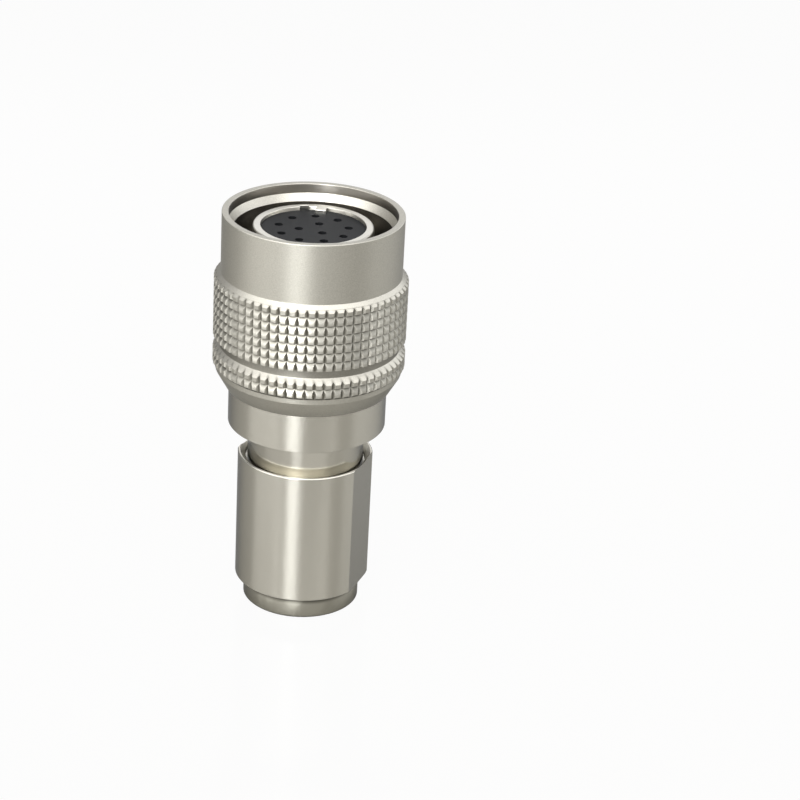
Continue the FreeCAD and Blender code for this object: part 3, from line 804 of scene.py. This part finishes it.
class PLUG_OT_inside(Operator):
    """Finish the inner shell, insulators, contacts and the hidden pieces"""
    bl_idname = "plug.inside"
    bl_label = "Inside"

    def execute(self, context):
        shell = turned_nickel_inner_shell()
        bright = bright_nickel_springs()
        plastic = moulded_insulator()
        gold = gold_plated_brass()
        dress_node("inner_shell", shell, edge=0.1 * MM)
        dress_node("insulator_front", plastic)
        dress_node("insulator_rear", plastic)
        dress_node("insulator_nut", shell)
        dress_node("lock_ring", bright)
        dress_node("clamp_washer", bright)
        dress_node("set_screw", drawn_steel("drawn_steel"), edge=0.03 * MM)
        dress_node("cable_gasket", gasket_rubber())
        for name in CONTACTS:
            dress_node(name, gold)
        return {"FINISHED"}


# Stage

def add_floor(stage):
    """A plain pale floor that stays white to the camera, keeps the shadow and glows faintly in the metal."""
    share_to_camera = 0.95
    share_to_metal = 0.04
    shape = bmesh.new()
    bmesh.ops.create_grid(shape, x_segments=1, y_segments=1, size=stage.floor_size / 2)
    mesh = bpy.data.meshes.new("floor")
    shape.to_mesh(mesh)
    shape.free()
    floor = bpy.data.objects.new("floor", mesh)
    floor.location.z = -stage.floor_drop
    bpy.context.scene.collection.objects.link(floor)
    material, tree, output = new_material("pale_floor")
    # A coated board: its gloss throws a soft streak of light up the walls that stand on it.
    paper = add_node(tree, "ShaderNodeBsdfPrincipled", {},
                     {"Base Color": with_alpha(colours().floor), "Roughness": 0.16, "IOR": 1.5})
    white = add_node(tree, "ShaderNodeEmission", {}, {"Color": (1.0, 1.0, 1.0, 1.0), "Strength": 1.0})
    rays = add_node(tree, "ShaderNodeLightPath")
    to_camera = add_node(tree, "ShaderNodeMath", {"operation": "MULTIPLY"}, {1: share_to_camera},
                         {0: rays.outputs["Is Camera Ray"]})
    seen = add_node(tree, "ShaderNodeMath", {"operation": "MAXIMUM"}, {},
                    {0: rays.outputs["Is Glossy Ray"], 1: rays.outputs["Is Transmission Ray"]})
    to_metal = add_node(tree, "ShaderNodeMath", {"operation": "MULTIPLY"}, {1: share_to_metal},
                        {0: seen.outputs["Value"]})
    share = add_node(tree, "ShaderNodeMath", {"operation": "ADD"}, {},
                     {0: to_camera.outputs["Value"], 1: to_metal.outputs["Value"]})
    blend = add_node(tree, "ShaderNodeMixShader", {}, {},
                     {0: share.outputs["Value"], 1: paper.outputs["BSDF"], 2: white.outputs["Emission"]})
    tree.links.new(blend.outputs["Shader"], output.inputs["Surface"])
    mesh.materials.append(material)


def add_softbox(name, azimuth, distance, height, width, depth, radiance, tint=(1.0, 1.0, 1.0)):
    """A rectangular soft light at an azimuth in degrees and a place in metres, facing the plug's foot."""
    # An area light's radiance is its energy divided by four times its area.
    energy_per_area = 4 * radiance
    lamp = bpy.data.lights.new(name, "AREA")
    lamp.shape = "RECTANGLE"
    lamp.size = width
    lamp.size_y = depth
    lamp.energy = energy_per_area * width * depth
    lamp.color = tint
    softbox = bpy.data.objects.new(name, lamp)
    place = ring_point(distance, math.radians(azimuth), height)
    softbox.location = place
    softbox.rotation_euler = (-place).to_track_quat("-Z", "Y").to_euler()
    bpy.context.scene.collection.objects.link(softbox)


def add_softboxes():
    """The studio's soft lights: two above, one behind, and three low ones that stripe the metal."""
    add_softbox("overhead_softbox", azimuth=-68.5, distance=0.06, height=0.42, width=1.0, depth=0.5,
                radiance=1.4)
    add_softbox("front_top_softbox", azimuth=-68.5, distance=0.42, height=0.34, width=0.9, depth=0.2,
                radiance=3.0)
    add_softbox("back_softbox", azimuth=111.5, distance=0.43, height=0.2, width=0.5, depth=0.2,
                radiance=1.3)
    add_softbox("front_strip", azimuth=-86.0, distance=0.38, height=0.15, width=0.12, depth=0.26,
                radiance=9.8, tint=COOL_WHITE)
    add_softbox("left_softbox", azimuth=-134.0, distance=0.4, height=0.15, width=0.36, depth=0.24,
                radiance=2.3)
    add_softbox("right_softbox", azimuth=40.0, distance=0.4, height=0.15, width=0.6, depth=0.24,
                radiance=1.45, tint=COOL_WHITE)


def set_world():
    """A studio that lights little by itself, is grey in reflections and white to the camera."""
    light_level = 0.08
    reflected_level = 0.4
    camera_level = 0.98
    world = bpy.data.worlds.new("studio")
    world.use_nodes = True
    tree = world.node_tree
    background = tree.nodes["Background"]
    background.inputs["Color"].default_value = (1.0, 1.0, 1.0, 1.0)
    rays = add_node(tree, "ShaderNodeLightPath")
    seen = add_node(tree, "ShaderNodeMath", {"operation": "MAXIMUM"}, {},
                    {0: rays.outputs["Is Glossy Ray"], 1: rays.outputs["Is Transmission Ray"]})
    lit = add_node(tree, "ShaderNodeMapRange", {}, {"To Min": light_level, "To Max": reflected_level},
                   {"Value": seen.outputs["Value"]})
    to_camera = add_node(tree, "ShaderNodeMath", {"operation": "MULTIPLY"}, {1: camera_level},
                         {0: rays.outputs["Is Camera Ray"]})
    level = add_node(tree, "ShaderNodeMath", {"operation": "MAXIMUM"}, {},
                     {0: lit.outputs["Result"], 1: to_camera.outputs["Value"]})
    tree.links.new(level.outputs["Value"], background.inputs["Strength"])
    bpy.context.scene.world = world


def add_camera(stage):
    """The camera at the photograph's angle."""
    back = Vector((math.sin(stage.azimuth) * math.cos(stage.elevation),
                   -math.cos(stage.azimuth) * math.cos(stage.elevation), math.sin(stage.elevation)))
    right = Vector((math.cos(stage.azimuth), math.sin(stage.azimuth), 0.0))
    up = back.cross(right)
    leaned_right = right * math.cos(stage.roll) + up * math.sin(stage.roll)
    leaned_up = back.cross(leaned_right)
    turn = Matrix((leaned_right, leaned_up, back)).transposed()
    data = bpy.data.cameras.new("camera")
    data.lens = stage.lens
    data.sensor_width = 36.0
    data.clip_start = 0.01
    data.clip_end = 10.0
    camera = bpy.data.objects.new("camera", data)
    aim = Vector((stage.aim_x, stage.aim_y, stage.aim_z))
    camera.matrix_world = Matrix.Translation(aim + back * stage.distance) @ turn.to_4x4()
    bpy.context.scene.collection.objects.link(camera)
    bpy.context.scene.camera = camera


class PLUG_OT_stage(Operator):
    """Set the floor, the soft lights, the world and the camera"""
    bl_idname = "plug.stage"
    bl_label = "Stage"

    def execute(self, context):
        stage = context.scene.plug_stage
        add_floor(stage)
        add_softboxes()
        set_world()
        add_camera(stage)
        context.scene.view_settings.view_transform = "Standard"
        return {"FINISHED"}


class PLUG_PT_pieces(Panel):
    """Lists the pieces of the plug"""
    bl_idname = "PLUG_PT_pieces"
    bl_label = "Push pull plug"
    bl_space_type = "VIEW_3D"
    bl_region_type = "UI"
    bl_category = "Plug"

    def draw(self, context):
        for operator in OPERATORS:
            self.layout.operator(operator.bl_idname)


OPERATORS = (
    PLUG_OT_coupling_sleeve,
    PLUG_OT_plug_body,
    PLUG_OT_rear_shell,
    PLUG_OT_cable_clamp,
    PLUG_OT_return_spring,
    PLUG_OT_inside,
    PLUG_OT_stage,
)
GROUPS = {
    "plug_sleeve": SleeveSizes,
    "plug_body": BodySizes,
    "plug_shell": ShellSizes,
    "plug_spring": SpringSizes,
    "plug_colours": FinishColours,
    "plug_stage": StageSettings,
}


def register():
    for group in GROUPS.values():
        bpy.utils.register_class(group)
    for operator in OPERATORS:
        bpy.utils.register_class(operator)
    bpy.utils.register_class(PLUG_PT_pieces)
    for name, group in GROUPS.items():
        setattr(bpy.types.Scene, name, PointerProperty(type=group))


def unregister():
    for name in GROUPS:
        delattr(bpy.types.Scene, name)
    bpy.utils.unregister_class(PLUG_PT_pieces)
    for operator in reversed(OPERATORS):
        bpy.utils.unregister_class(operator)
    for group in GROUPS.values():
        bpy.utils.unregister_class(group)


def main():
    register()
    bpy.ops.plug.coupling_sleeve()
    bpy.ops.plug.plug_body()
    bpy.ops.plug.rear_shell()
    bpy.ops.plug.cable_clamp()
    bpy.ops.plug.return_spring()
    bpy.ops.plug.inside()
    bpy.ops.plug.stage()


if __name__ == "__main__":
    main()
